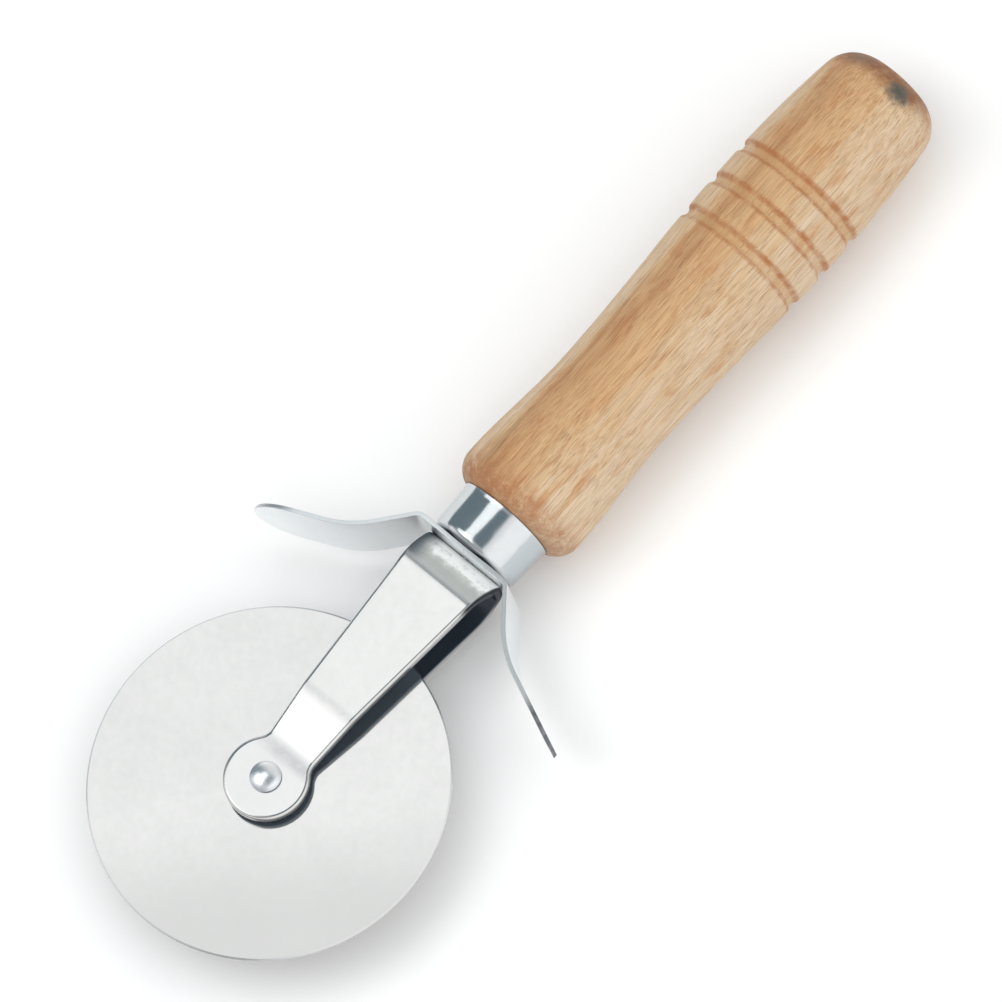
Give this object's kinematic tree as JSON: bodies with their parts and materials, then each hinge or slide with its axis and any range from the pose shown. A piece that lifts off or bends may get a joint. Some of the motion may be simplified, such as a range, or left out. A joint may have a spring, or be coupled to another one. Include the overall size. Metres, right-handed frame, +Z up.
{
  "type": "pizza cutter",
  "caption": "Hand-held pizza cutter: a round steel blade that spins on a riveted axle in a bent fork, with a finger guard, a bright ferrule and a turned wooden handle.",
  "frame": {"origin": "on the table, under the middle of the cutter's bounding box, with the cutter lying on its side", "axes": "+X along the handle from the blade to the butt, +Y across the finger guard, +Z up along the blade's axle"},
  "size_m": [0.1967, 0.0702, 0.0256],
  "materials": {
    "blade_steel": "satin, ground at the rim",
    "rivet_steel": "polished",
    "axle_steel": "bare, turned",
    "fork_steel": "satin",
    "guard_steel": "satin, polished edges",
    "ferrule_chrome": "bright",
    "handle_wood": "bare, fine straight grain"
  },
  "bodies": {
    "cutter_body": {"axle_rivet": "rivet_steel", "axle_sleeve": "axle_steel", "front_spacer": "axle_steel", "rear_spacer": "axle_steel", "fork": "fork_steel", "finger_guard": "guard_steel", "tang": "axle_steel", "ferrule": "ferrule_chrome", "handle": "handle_wood"},
    "blade": {"cutting_wheel": "blade_steel"}
  },
  "joints": [
    {"name": "blade_spin", "type": "hinge", "parent": "cutter_body", "child": "blade", "pos_m": [-0.06635, 0, 0.0128], "axis": [0, 0, 1], "continuous": true}
  ]
}
